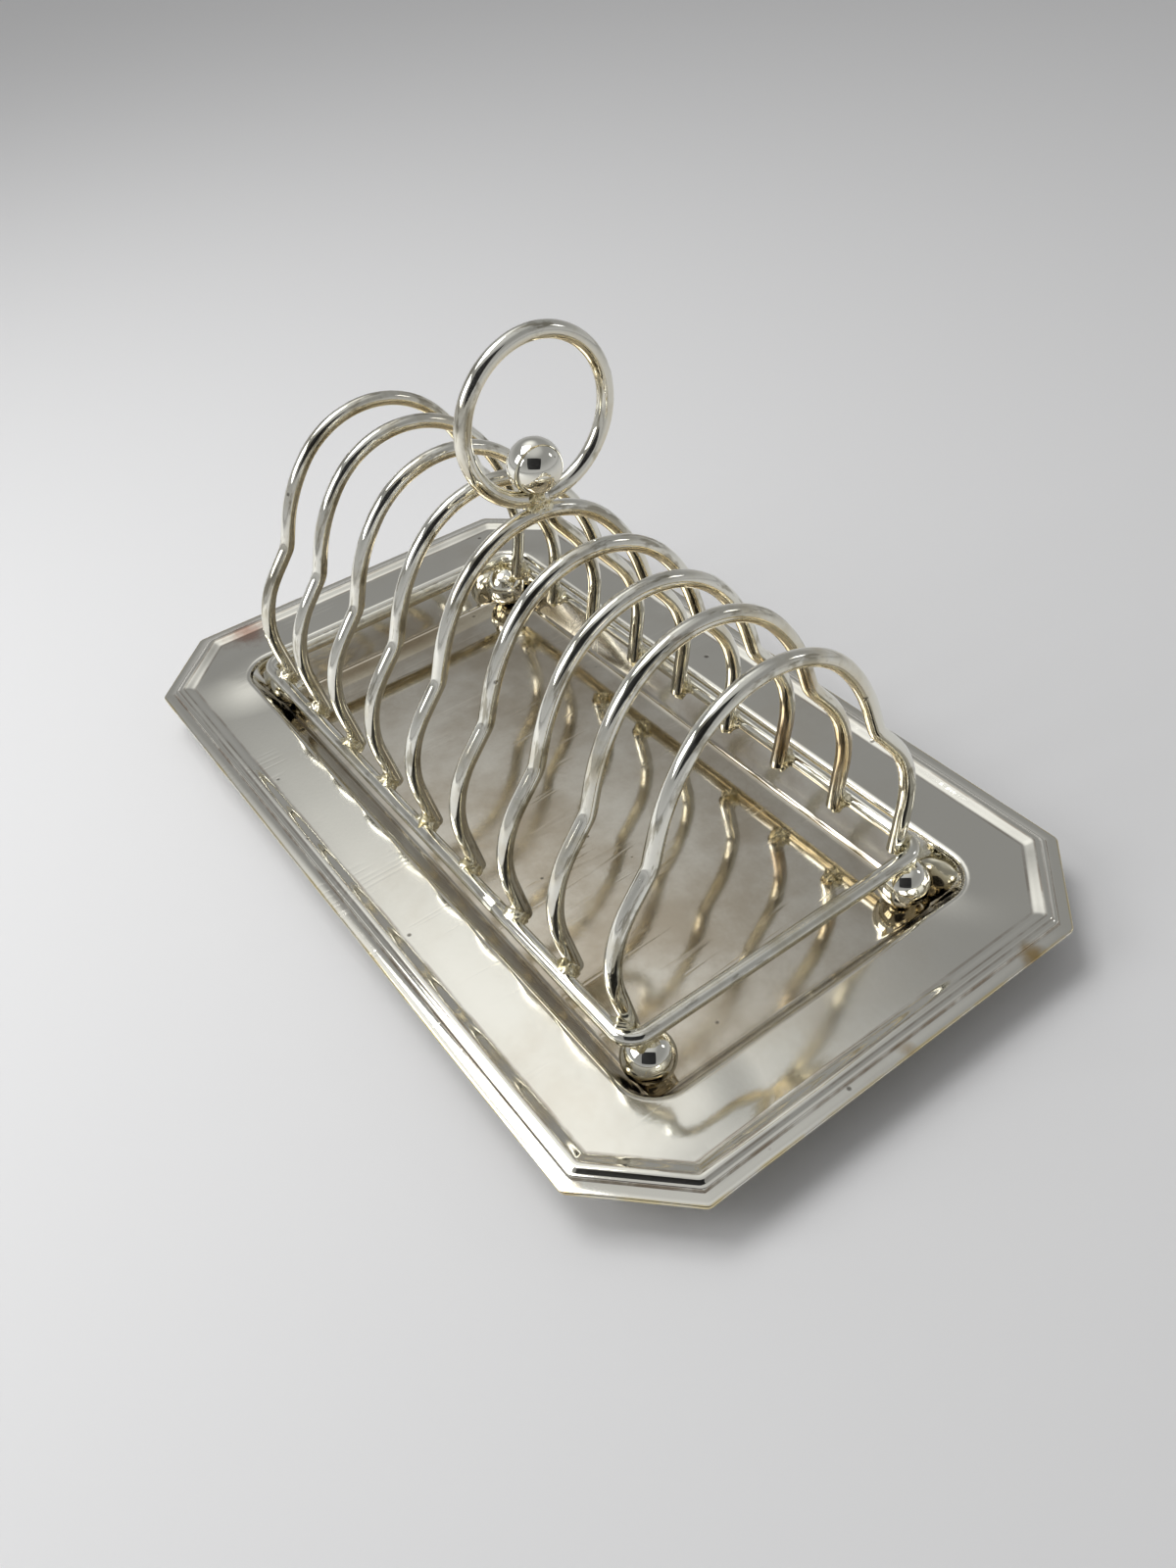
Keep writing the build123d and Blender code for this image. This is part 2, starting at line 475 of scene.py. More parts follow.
@dataclass(frozen=True)
class SilverPlate:
    """Plated metal with cloudy tarnish, scratches, pits and single stains."""

    name: str
    silver: Colour
    tarnish: Colour
    tarnish_scale: float
    tarnish_low: float                  # noise level at which the tarnish begins
    tarnish_high: float                 # noise level at which it is full
    polish: float                       # roughness of the bright metal
    dulled: float                       # roughness under tarnish, stains and scratches
    tarnish_share: float = 0.6
    scratch_share: float = 0.25
    scratch_width: float = 0.012
    scratch_slants: tuple[float, ...] = (0.35, 1.2, 2.4)
    scratch_depth: float = 0.01 * MM
    pit_scale: float = 220.0
    pit_share: float = 0.06
    pit_size: float = 0.22
    pit_depth: float = 0.03 * MM
    pit_colour: Colour = (0.10, 0.085, 0.06)
    pit_strength: float = 0.75
    grain_scale: float = 900.0
    grain_height: float = 0.004 * MM
    wave_scale: float = 60.0
    wave_height: float = 0.01 * MM
    streak_share: float = 0.0
    streak_scale: float = 700.0
    streak_low: float = 0.52
    streak_high: float = 0.62
    streak_stretch: Place = (1.0, 0.12, 0.12)
    streak_colour: Colour = (0.33, 0.30, 0.22)
    # golden tint on faces that look down: partly tarnish, partly a painted reflection of the golden tray
    # under them
    under_tarnish_and_reflection_share: float = 0.0
    under_start: float = 0.25           # upward part of the normal where the undersides begin
    under_full: float = -0.5
    under_tarnish_and_reflection_colour: Colour = (0.66, 0.54, 0.31)
    stains: tuple[Stain, ...] = ()

    def material(self, effects: Effects) -> bpy.types.Material:
        """Build the finish.

        Args:
            effects: The shared effect groups.

        Returns:
            A metallic material.
        """
        material = bpy.data.materials.new(self.name)
        material.use_nodes = True
        tree = Tree(material.node_tree)
        shader = material.node_tree.nodes["Principled BSDF"]
        shader.inputs["Metallic"].default_value = 1.0
        place = tree.add("ShaderNodeTexCoord").outputs["Object"]
        clouds = tree.use(
            effects.clouds, place, Scale=self.tarnish_scale, Low=self.tarnish_low, High=self.tarnish_high,
        )
        pits = tree.use(effects.specks, place, Scale=self.pit_scale, Share=self.pit_share, Size=self.pit_size)
        scratches = self._scratches(tree, effects, place)
        colour = tree.tint(rgba(self.silver), self.tarnish, clouds, self.tarnish_share)
        colour = self._aged(tree, effects, place, colour)
        colour = tree.tint(colour, self.pit_colour, pits, self.pit_strength)
        marked = clouds
        for stain in self.stains:
            mask = tree.use(effects.stain, place, Middle=stain.middle, Reach=stain.reach)
            colour = tree.tint(colour, stain.colour, mask, stain.strength)
            marked = tree.maths("MAXIMUM", marked, mask)
        worn = tree.maths("MAXIMUM", tree.maths("MULTIPLY", scratches, self.scratch_share), marked)
        rough = tree.add("ShaderNodeMapRange", {"Value": worn, "To Min": self.polish, "To Max": self.dulled})
        links = material.node_tree.links
        links.new(colour, shader.inputs["Base Color"])
        links.new(rough.outputs[0], shader.inputs["Roughness"])
        links.new(self._relief(tree, place, scratches, pits), shader.inputs["Normal"])
        return material

    def _aged(self, tree: Tree, effects: Effects, place: Socket, colour: Socket) -> Socket:
        """Add dark streaks along the wire, and on the undersides golden tarnish together with a painted
        reflection of the tray below.

        Args:
            tree: The material's tree.
            effects: The shared effect groups.
            place: Object coordinates.
            colour: Colour of the plate so far.

        Returns:
            The aged colour.
        """
        if self.streak_share:
            stretched = {"Vector": place, "Scale": self.streak_stretch}
            drawn = tree.add("ShaderNodeMapping", stretched).outputs[0]
            levels = {"Scale": self.streak_scale, "Low": self.streak_low, "High": self.streak_high}
            streaks = tree.use(effects.clouds, drawn, **levels)
            colour = tree.tint(colour, self.streak_colour, streaks, self.streak_share)
        # tarnish and a painted reflection of the tray on faces that look down
        if self.under_tarnish_and_reflection_share:
            facing = tree.add("ShaderNodeTexCoord").outputs["Normal"]
            under = tree.between(tree.height(facing), self.under_start, self.under_full)
            colour = tree.tint(colour, self.under_tarnish_and_reflection_colour, under, self.under_tarnish_and_reflection_share)
        return colour

    def _scratches(self, tree: Tree, effects: Effects, place: Socket) -> Socket:
        """Join scratches in several directions in one mask.

        Args:
            tree: The material's tree.
            effects: The shared effect groups.
            place: Object coordinates.

        Returns:
            The mask.
        """
        joined: Source = 0.0
        for slant in self.scratch_slants:
            lines = tree.use(effects.scratches, place, Slant=(0.0, 0.0, slant), Width=self.scratch_width)
            joined = tree.maths("MAXIMUM", lines, joined)
        return joined

    def _relief(self, tree: Tree, place: Socket, scratches: Socket, pits: Socket) -> Socket:
        """Turn long waves, fine grain, scratches and pits into one normal.

        Args:
            tree: The material's tree.
            place: Object coordinates.
            scratches: Mask of the scratches.
            pits: Mask of the pits.

        Returns:
            The normal, from heights in metres.
        """
        grain = tree.maths("MULTIPLY", tree.texture(place, self.grain_scale, 3.0), self.grain_height)
        height = tree.maths("ADD", self._waves(tree, place), grain)
        cut = tree.maths("MULTIPLY", scratches, -self.scratch_depth * self.scratch_share)
        hole = tree.maths("MULTIPLY", pits, -self.pit_depth)
        height = tree.maths("ADD", height, tree.maths("ADD", cut, hole))
        return tree.add("ShaderNodeBump", {"Height": height, "Distance": 1.0}).outputs[0]

    def _waves(self, tree: Tree, place: Socket) -> Socket:
        """Height of the long waves in the metal."""
        return tree.maths("MULTIPLY", tree.texture(place, self.wave_scale, 1.0), self.wave_height)


@dataclass(frozen=True)
class Band:
    """A line along the edge of the tray at some way inside it: brass wear, grime, and on the moulding's
    risers a painted dark reflection.
    """

    inset: float
    width: float
    colour: Colour
    share: float


@dataclass(frozen=True)
class TrayPlate(SilverPlate):
    """Plate of the tray: bands along its edge, a browner well and folds round the well's corners."""

    half: Place = (0.0, 0.0, 0.0)       # upper corner of the tray's box
    cut: float = 20.8 * MM              # length of a cut corner along both sides
    bands: tuple[Band, ...] = ()
    band_scale: float = 90.0            # patches in which the bands are worn through
    band_low: float = 0.32
    band_high: float = 0.62
    well_below: float = 0.0             # height under which the well begins
    well_depth: float = 7 * MM          # it is brownest this far below
    well_colour: Colour = (0.42, 0.355, 0.26)
    well_share: float = 0.85
    well_patches: float = 0.65          # share of its brown that comes in patches
    fold_middle: Place = (0.0, 0.0, 0.0)
    fold_reach: float = 26 * MM
    fold_height: float = 1.5 * MM
    fold_scale: float = 42.0

    def _aged(self, tree: Tree, effects: Effects, place: Socket, colour: Socket) -> Socket:
        """Add a tarnished well and the bands along the edge.

        Args:
            tree: The material's tree.
            effects: The shared effect groups.
            place: Object coordinates.
            colour: Colour of the plate so far.

        Returns:
            The aged colour.
        """
        patches = tree.use(effects.clouds, place, Scale=26.0, Low=0.3, High=0.7)
        share = tree.maths("ADD", tree.maths("MULTIPLY", patches, self.well_patches), 1 - self.well_patches)
        below = tree.between(tree.height(place), self.well_below, self.well_below - self.well_depth)
        deep = tree.maths("MULTIPLY", below, share)
        colour = tree.tint(colour, self.well_colour, deep, self.well_share)
        inset = tree.use(effects.inset, place, Half=self.half, Cut=self.cut)
        levels = {"Scale": self.band_scale, "Low": self.band_low, "High": self.band_high}
        broken = tree.use(effects.clouds, place, **levels)
        # the bands on the moulding's risers are painted dark reflection, the others brass wear and grime
        for band in self.bands:
            off = tree.maths("ABSOLUTE", tree.maths("SUBTRACT", inset, band.inset))
            line = tree.maths("MULTIPLY", tree.between(off, band.width, 0.3 * band.width), broken)
            colour = tree.tint(colour, band.colour, line, band.share)
        return colour

    def _waves(self, tree: Tree, place: Socket) -> Socket:
        """Add folds round the four corners of the well to the long waves.

        Args:
            tree: The material's tree.
            place: Object coordinates.

        Returns:
            The height of both in metres.
        """
        across = tree.vectors("ABSOLUTE", place).outputs[0]
        off = tree.vectors("DISTANCE", across, self.fold_middle).outputs["Value"]
        near = tree.between(off, self.fold_reach, 0.2 * self.fold_reach)
        border = tree.between(tree.height(place), self.well_below, self.well_below + 0.8 * MM)
        folds = tree.texture(place, self.fold_scale, 0.0)
        share = tree.maths("MULTIPLY", tree.maths("MULTIPLY", near, border), folds)
        folded = tree.maths("MULTIPLY", share, self.fold_height)
        return tree.maths("ADD", super()._waves(tree, place), folded)


class Finishes:
    """Every finish on the object, made once."""

    def __init__(self, low: Vector, high: Vector) -> None:
        """Make the finishes.

        Args:
            low: Lowest corner of the tray, which its stains are placed by.
            high: Its highest corner.
        """
        effects = Effects()
        ochre: Colour = (0.42, 0.26, 0.05)
        rust: Colour = (0.36, 0.16, 0.10)
        brass: Colour = (0.80, 0.66, 0.32)
        grime_and_painted_reflection: Colour = (0.30, 0.22, 0.15)
        bright_wire: Colour = (0.90, 0.89, 0.81)
        self.tray = TrayPlate(
            "tray_silver", silver=(0.865, 0.85, 0.775), tarnish=(0.60, 0.52, 0.385), tarnish_scale=16.0,
            tarnish_low=0.48, tarnish_high=0.85, tarnish_share=0.5, polish=0.07, dulled=0.2,
            wave_scale=36.0, wave_height=0.07 * MM, scratch_share=0.7, scratch_width=0.014,
            half=tuple(high), well_below=high.z - 2 * MM, fold_middle=(101 * MM, 51 * MM, 13 * MM),
            bands=(
                Band(0.0, 0.7 * MM, brass, 0.8),
                # the bands at 3.1 and 4.6 mm lie on the moulding's two risers and are painted dark
                # reflection; those at 6.1 and 8.9 mm are grime in the cove
                Band(3.1 * MM, 0.35 * MM, grime_and_painted_reflection, 0.8),
                Band(4.6 * MM, 0.3 * MM, grime_and_painted_reflection, 0.5),
                Band(6.1 * MM, 0.35 * MM, grime_and_painted_reflection, 0.55),
                Band(8.9 * MM, 0.5 * MM, grime_and_painted_reflection, 0.45),
            ),
            stains=(
                Stain((high.x - 1 * MM, 0.55 * high.y, high.z - 2 * MM), 5 * MM, ochre),
                Stain((high.x - 1 * MM, 0.02 * high.y, high.z - 2 * MM), 3 * MM, ochre, 0.5),
                Stain((high.x - 20 * MM, low.y + 1 * MM, high.z - 2 * MM), 3.5 * MM, ochre, 0.6),
                Stain((low.x + 9 * MM, 0.55 * low.y, high.z - 1 * MM), 9 * MM, rust, 0.7),
            ),
        ).material(effects)
        self.wire = SilverPlate(
            "wire_silver", silver=bright_wire, tarnish=(0.58, 0.49, 0.29), tarnish_scale=55.0,
            tarnish_low=0.45, tarnish_high=0.75, polish=0.045, dulled=0.19,
            streak_share=0.75, under_tarnish_and_reflection_share=0.6,
            stains=(
                Stain((66 * MM, -8 * MM, 95 * MM), 10 * MM, (0.52, 0.27, 0.14), 0.6),
                Stain((64.4 * MM, -32 * MM, 67 * MM), 5 * MM, (0.30, 0.19, 0.11), 0.7),
                Stain((64 * MM, 28 * MM, 59 * MM), 7 * MM, (0.40, 0.24, 0.10), 0.6),
                Stain((62 * MM, 41 * MM, 30 * MM), 16 * MM, (0.50, 0.34, 0.14), 0.6),
                Stain((41.4 * MM, 41 * MM, 25 * MM), 14 * MM, (0.42, 0.27, 0.12), 0.6),
            ),
            grain_height=0.006 * MM, wave_scale=120.0, wave_height=0.02 * MM,
        ).material(effects)
        self.rail = SilverPlate(
            "rail_silver", silver=bright_wire, tarnish=(0.54, 0.48, 0.31), tarnish_scale=40.0,
            tarnish_low=0.45, tarnish_high=0.72, tarnish_share=0.7, polish=0.07, dulled=0.24,
            streak_share=0.5, streak_stretch=(0.15, 0.15, 1.0), under_tarnish_and_reflection_share=0.6,
            grain_height=0.006 * MM, wave_scale=120.0, wave_height=0.02 * MM,
        ).material(effects)
        self.ball = SilverPlate(
            "ball_silver", silver=(0.92, 0.91, 0.83), tarnish=(0.60, 0.51, 0.29), tarnish_scale=70.0,
            tarnish_low=0.55, tarnish_high=0.8, polish=0.035, dulled=0.2,
            under_tarnish_and_reflection_share=0.45, pit_scale=420.0, pit_share=0.12,
            grain_height=0.002 * MM, wave_height=0.006 * MM,
        ).material(effects)
        self.solder = SilverPlate(
            "solder_silver", silver=(0.85, 0.80, 0.62), tarnish=(0.46, 0.38, 0.17), tarnish_scale=260.0,
            tarnish_low=0.4, tarnish_high=0.7, tarnish_share=0.8, polish=0.16, dulled=0.4,
            grain_height=0.01 * MM, wave_scale=420.0, wave_height=0.25 * MM,
        ).material(effects)


# --- tray ----------------------------------------------------------------------------------


def eased(run: float, rise: float, parts: int) -> Steps:
    """Steps inwards and up along an S that starts and ends level.

    Args:
        run: How far it goes inwards.
        rise: How far it goes up, or down if negative.
        parts: Number of steps.

    Returns:
        The steps.
    """
    heights = [rise * (1 - math.cos(math.pi * step / parts)) / 2 for step in range(parts + 1)]
    return [(run / parts, upper - lower) for lower, upper in zip(heights, heights[1:])]


def rounded(radius: float, first: float, last: float, parts: int) -> Steps:
    """Steps inwards and down along an arc between two slopes.

    Args:
        radius: Radius of the arc.
        first: Slope below level at its start, in degrees.
        last: Slope below level at its end, in degrees.
        parts: Number of steps.

    Returns:
        The steps.
    """
    steps = []
    for part in range(parts):
        slope = math.radians(first + (last - first) * (part + 0.5) / parts)
        chord = radius * abs(math.radians(last - first)) / parts
        steps.append((chord * math.cos(slope), -chord * math.sin(slope)))
    return steps


@dataclass
class Tray:
    """One pressed sheet: a cut-cornered rim with a stepped moulding, a flat border and a well."""

    low: Vector
    high: Vector
    corner: float = 20.8 * MM
    sheet: float = 1.0 * MM
    sheet_edge: float = 0.3 * MM        # rounding of the sheet's outer edge
    mitre: float = 0.9 * MM             # rounding of the eight corners of the moulding
    moulding: float = 1.5 * MM          # the moulding stands this high above the lip
    lip: float = 2.3 * MM
    lip_edge: float = 0.6 * MM
    first_step: float = 0.5 * MM        # inward length of the moulding's lower step
    first_rise: float = 0.8 * MM
    tread: float = 0.25 * MM            # between the two steps
    second_step: float = 1.45 * MM
    crest: float = 0.35 * MM
    cove: float = 3.65 * MM             # from the crest down to the border
    border_rise: float = 0.6 * MM
    slight: float = 0.02 * MM           # rise of a level step, since level rings bridge askew
    well_length: float = 203 * MM
    well_width: float = 102.4 * MM
    well_corner: float = 10 * MM
    well_edge: float = 0.15 * MM        # narrow strips before the shoulder and after the heel
    wall_slope: float = 59.0            # degrees below level
    wall_parts: int = 6
    shoulder: float = 2.2 * MM          # rounding from the border into the wall
    heel: float = 2.0 * MM              # rounding from the wall into the floor
    pitch: float = 3.5 * MM             # spacing of the points along the outlines
    grid: float = 4.0 * MM              # spacing of the cuts across the flats
    grid_shift: float = 0.37            # of a spacing, so that no cut runs through the middle
    bm: bmesh.types.BMesh = field(default_factory=bmesh.new)

    def build(self, material: bpy.types.Material) -> bpy.types.Object:
        """Press the sheet and put it on its body.

        Args:
            material: Finish of the tray.

        Returns:
            The finished piece.
        """
        border_top = self._rim()
        floor = self._well(border_top)
        self._join(floor, border_top)
        self._thicken()
        return register(as_piece(self.bm, "tray_sheet", material), Body.TRAY, "tray")

    def _divide(self, edge: bmesh.types.BMEdge, length: float) -> None:
        """Divide an edge evenly, into as many parts as an edge of that length needs.

        Args:
            edge: The edge to divide.
            length: Length that the number of parts is worked out from.
        """
        cuts = round(length / self.pitch) - 1
        if cuts > 0:
            bmesh.ops.subdivide_edges(self.bm, edges=[edge], cuts=cuts)

    def _plate(
        self, length: float, width: float, height: float, corner: float, segments: int
    ) -> bmesh.types.BMFace:
        """Make a level rectangle with its corners cut or rounded.

        Args:
            length: Size along X.
            width: Size along Y.
            height: Height above the table.
            corner: How far each corner is cut back along both sides.
            segments: One for a straight cut, more for a round one.

        Returns:
            The new face.
        """
        old = set(self.bm.faces)
        size = Matrix.Translation((0, 0, height)) @ Matrix.Diagonal((length, width, 1, 1))
        made = bmesh.ops.create_grid(self.bm, x_segments=1, y_segments=1, size=0.5, matrix=size)
        cut_corners(self.bm, made["verts"], corner, segments)
        return next(face for face in self.bm.faces if face not in old)

    def _ring(self, inset: float, height: float) -> list[bmesh.types.BMEdge]:
        """Make one eight-sided ring of edges with slightly rounded points.

        Args:
            inset: How far it lies inside the outline.
            height: Height above the table.

        Returns:
            Its edges, the same number whatever the inset.
        """
        length = self.high.x - self.low.x - 2 * inset
        width = self.high.y - self.low.y - 2 * inset
        corner = self.corner - (2 - math.sqrt(2)) * inset
        old = set(self.bm.faces)
        plate = self._plate(length, width, height, corner, 1)
        cut_corners(self.bm, plate.verts[:], self.mitre, 3)
        face = next(face for face in self.bm.faces if face not in old)
        for edge in face.edges[:]:
            if edge.calc_length() > 2 * self.mitre:
                outermost = edge.calc_length() + 2 * inset * math.tan(math.radians(22.5))
                self._divide(edge, outermost)
        edges = face.edges[:]
        bmesh.ops.delete(self.bm, geom=[face], context="FACES_ONLY")
        return edges

    def _rim(self) -> float:
        """Make the lip, the stepped moulding and the cove, from the outline inwards.

        Returns:
            Height of the border that they lead to.
        """
        steps = [
            (self.lip_edge, self.slight),
            (self.lip, self.slight),
            *eased(self.first_step, self.first_rise, 5),
            (self.tread, self.slight),
            *eased(self.second_step, self.moulding - self.first_rise - self.slight, 9),
            (self.crest, -self.slight),
            *eased(self.cove, self.border_rise - self.moulding + self.slight, 12),
        ]
        inset, height = 0.0, self.high.z - self.moulding - 2 * self.slight
        outer = self._ring(inset, height)
        for inwards, up in steps:
            inset, height = inset + inwards, height + up
            inner = self._ring(inset, height)
            bmesh.ops.bridge_loops(self.bm, edges=outer + inner)
            outer = inner
        return height

    def _well(self, border_top: float) -> bmesh.types.BMFace:
        """Draw the well down, from the edge of its shoulder to its floor.

        Args:
            border_top: Height of the border round it.

        Returns:
            The floor.
        """
        slope = math.radians(self.wall_slope)
        out = 2 * self.shoulder * math.tan(slope / 2)
        corner = self.well_corner + out / 2
        face = self._plate(self.well_length + out, self.well_width + out, border_top, corner, 9)
        for edge in face.edges[:]:
            self._divide(edge, edge.calc_length())
        depth = border_top - self.low.z - self.sheet
        curves = (self.shoulder + self.heel) * (1 - math.cos(slope))
        part = (depth - curves) / math.sin(slope) / self.wall_parts
        steps = [
            (self.well_edge, 0.0),
            *rounded(self.shoulder, 0, self.wall_slope, 8),
            *[(part * math.cos(slope), -part * math.sin(slope))] * self.wall_parts,
            *rounded(self.heel, self.wall_slope, 0, 8),
            (self.well_edge, 0.0),
        ]
        for inwards, up in steps:
            bmesh.ops.inset_region(
                self.bm, faces=[face], thickness=inwards, depth=0.0, use_boundary=True, use_even_offset=True,
            )
            bmesh.ops.translate(self.bm, vec=(0, 0, up), verts=face.verts[:])
        return face

    def _join(self, floor: bmesh.types.BMFace, border_top: float) -> None:
        """Fill the border round the well and divide border and floor by a grid of cuts.

        Args:
            floor: Floor of the well.
            border_top: Height of the border.
        """
        gap = [
            edge for edge in self.bm.edges
            if edge.is_boundary and all(abs(vert.co.z - border_top) < WELD for vert in edge.verts)
        ]
        filled = bmesh.ops.triangle_fill(self.bm, edges=gap, use_beauty=True)["geom"]
        flats = {floor, *only(bmesh.types.BMFace, filled)}
        for axis, reach in ((Vector((1, 0, 0)), self.high.x), (Vector((0, 1, 0)), self.high.y)):
            count = int(reach / self.grid)
            for number in range(-count, count + 1):
                parts = set(flats)
                parts.update(item for face in flats for item in (*face.edges, *face.verts))
                middle = axis * (number + self.grid_shift) * self.grid
                cut = bmesh.ops.bisect_plane(
                    self.bm, geom=list(parts), dist=WELD, plane_co=middle, plane_no=axis,
                )
                flats = set(only(bmesh.types.BMFace, cut["geom"]))

    def _thicken(self) -> None:
        """Give the sheet its thickness downwards and soften its outer edge."""
        top = self.bm.faces[:]
        bmesh.ops.recalc_face_normals(self.bm, faces=top)
        if sum(face.normal.z for face in top) < 0:
            bmesh.ops.reverse_faces(self.bm, faces=top)
        self.bm.normal_update()
        away = {vert: vert.normal.copy() for vert in self.bm.verts}
        under = bmesh.ops.duplicate(self.bm, geom=top + self.bm.edges[:] + self.bm.verts[:])
        for vert, normal in away.items():
            under["vert_map"][vert].co -= normal * self.sheet
        bmesh.ops.reverse_faces(self.bm, faces=only(bmesh.types.BMFace, under["geom"]))
        outline = [edge for edge in self.bm.edges if edge.is_boundary]
        bmesh.ops.bridge_loops(self.bm, edges=outline)
        round_edges(self.bm, outline, self.sheet_edge)
        for face in self.bm.faces:
            face.smooth = True


# --- rack ----------------------------------------------------------------------------------


@dataclass
class RackPlan:
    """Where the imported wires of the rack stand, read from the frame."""

    arches: int = 9
    wire: float = field(init=False)     # radius of every wire
    rail_z: float = field(init=False)
    rail_y: float = field(init=False)
    near_x: float = field(init=False)
    far_x: float = field(init=False)
    pitch: float = field(init=False)
    dome_top: float = field(init=False)
    ring: Vector = field(init=False)
    ring_radius: float = field(init=False)

    def __post_init__(self) -> None:
        """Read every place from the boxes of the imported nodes."""
        low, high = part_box("base_frame")
        self.wire = (high.z - low.z) / 2
        self.rail_z = (low.z + high.z) / 2
        self.rail_y = high.y - self.wire
        self.near_x, self.far_x = high.x - self.wire, low.x + self.wire
        middle = (self.arches + 1) // 2
        first_x, middle_x = (sum(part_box(f"arch_{number}"), Vector()).x / 2 for number in (1, middle))
        self.pitch = (middle_x - first_x) / (middle - 1)
        self.dome_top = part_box(f"arch_{middle}")[1].z - self.wire
        low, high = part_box("ring_handle")
        self.ring = (low + high) / 2
        self.ring_radius = (high.z - low.z) / 2 - self.wire

    def arch_x(self, number: int) -> float:
        """Place of an arch along the rack at its rails, counted from the far end."""
        return (number - (self.arches + 1) / 2) * self.pitch


@dataclass(frozen=True)
class ArchShape:
    """Half an arch, from the top of its dome down one side, bends in degrees."""

    dome_radius: float = 27.5 * MM
    dome_turn: float = 50.0
    flank_radius: float = 46.0 * MM
    flank_turn: float = 23.0
    neck: float = 4.8 * MM
    waist_radius: float = 8.0 * MM
    waist_turn: float = 22.0
    shoulder: float = 7.3 * MM
    bulge_radius: float = 27.5 * MM
    bulge_turn: float = 50.0
    foot_drop: float = 1.0 * MM         # the cut end stands this far below the rail's middle
    foot_edge: float = 0.35 * MM
    leans: tuple[float, ...] = (0, 1, 0.5, 0, 0, -0.5, 0, 2.5, 2.5)

    @property
    def leg_angle(self) -> float:
        """How far the legs lean inwards on their way down, in degrees."""
        return self.dome_turn + self.flank_turn - self.waist_turn + self.bulge_turn - 90


@dataclass
class Arches:
    """Nine wires bent to the outline of a slice of bread."""

    plan: RackPlan
    shape: ArchShape
    sway: Waver = Waver(0.18 * MM, 38 * MM)
    ripple: Waver = Waver(0.025 * MM, 6 * MM)

    def build(self, material: bpy.types.Material) -> list[bpy.types.Object]:
        """Bend every arch and put it on the rack.

        Args:
            material: Finish of the wires.

        Returns:
            The finished pieces, from the far end.
        """
        return [self._arch(number, material) for number in range(1, self.plan.arches + 1)]

    def _half(self) -> Wire:
        """Bend one half of an upright arch in the Y-Z plane, its cut foot on the right side.

        Returns:
            The wire.
        """
        plan, shape = self.plan, self.shape
        wire = Wire(Vector((0, 0, plan.dome_top)), Vector((0, 1, 0)), Vector((1, 0, 0)), plan.wire)
        wire.bend(shape.dome_radius, -shape.dome_turn, parts=14)
        wire.bend(shape.flank_radius, -shape.flank_turn, parts=10)
        wire.run(shape.neck, parts=6)
        wire.bend(shape.waist_radius, shape.waist_turn, parts=10)
        wire.run(shape.shoulder, parts=8)
        wire.bend(shape.bulge_radius, -shape.bulge_turn, parts=14)
        drop = wire.place.z - plan.rail_z + shape.foot_drop
        wire.run(drop / math.cos(math.radians(shape.leg_angle)), parts=6)
        wire.cut(shape.foot_edge)
        return wire

    def _arch(self, number: int, material: bpy.types.Material) -> bpy.types.Object:
        """Bend one arch, lean it and stand it at its place.

        Args:
            number: Its number from the far end.
            material: Finish of the wires.

        Returns:
            The finished piece.
        """
        wire = self._half()
        bm = wire.bm
        bmesh.ops.mirror(bm, geom=bm.verts[:] + bm.edges[:] + bm.faces[:], axis="Y", merge_dist=WELD)
        lean = Matrix.Rotation(-math.radians(self.shape.leans[number - 1]), 3, "Y")
        bmesh.ops.rotate(bm, cent=(0, 0, self.plan.rail_z), matrix=lean, verts=bm.verts)
        bmesh.ops.translate(bm, vec=(self.plan.arch_x(number), 0, 0), verts=bm.verts)
        self.sway.on(bm, number)
        self.ripple.on(bm, number)
        return on_rack(wire.shaded(), f"arch_wire_{number}", material, f"arch_{number}")


@dataclass
class BaseFrame:
    """One wire bent round into a closed rectangle, butt-jointed on its left long side."""

    plan: RackPlan
    bend: float = 5.0 * MM
    part: float = 4.0 * MM              # length of the pieces that its runs are divided into
    seam_x: float = 36.0 * MM
    seam_gap: float = 0.3 * MM
    seam_squeeze: float = 0.92
    sway: Waver = Waver(0.12 * MM, 45 * MM)
    ripple: Waver = Waver(0.02 * MM, 6 * MM)

    def build(self, material: bpy.types.Material) -> bpy.types.Object:
        """Bend the frame and put it on the rack.

        Args:
            material: Finish of the frame.

        Returns:
            The finished piece.
        """
        plan = self.plan
        start = Vector((self.seam_x, -plan.rail_y, plan.rail_z))
        wire = Wire(start, Vector((1, 0, 0)), Vector((0, 0, 1)), plan.wire)
        long_run = plan.near_x - plan.far_x - 2 * self.bend
        cross_run = 2 * (plan.rail_y - self.bend)
        first_run = plan.near_x - self.bend - self.seam_x
        wire.swell(self.seam_squeeze)
        wire.run(self.seam_gap)
        wire.swell(1 / self.seam_squeeze)
        for length in (first_run - self.seam_gap, cross_run, long_run, cross_run):
            wire.run(length, round(length / self.part))
            wire.bend(self.bend, 90, parts=12)
        last_run = long_run - first_run - self.seam_gap
        wire.run(last_run, round(last_run / self.part))
        wire.run(self.seam_gap)
        wire.swell(self.seam_squeeze)
        wire.weld()
        self.sway.on(wire.bm, seed=11)
        self.ripple.on(wire.bm, seed=12)
        return on_rack(wire.shaded(), "base_wire", material, "base_frame")


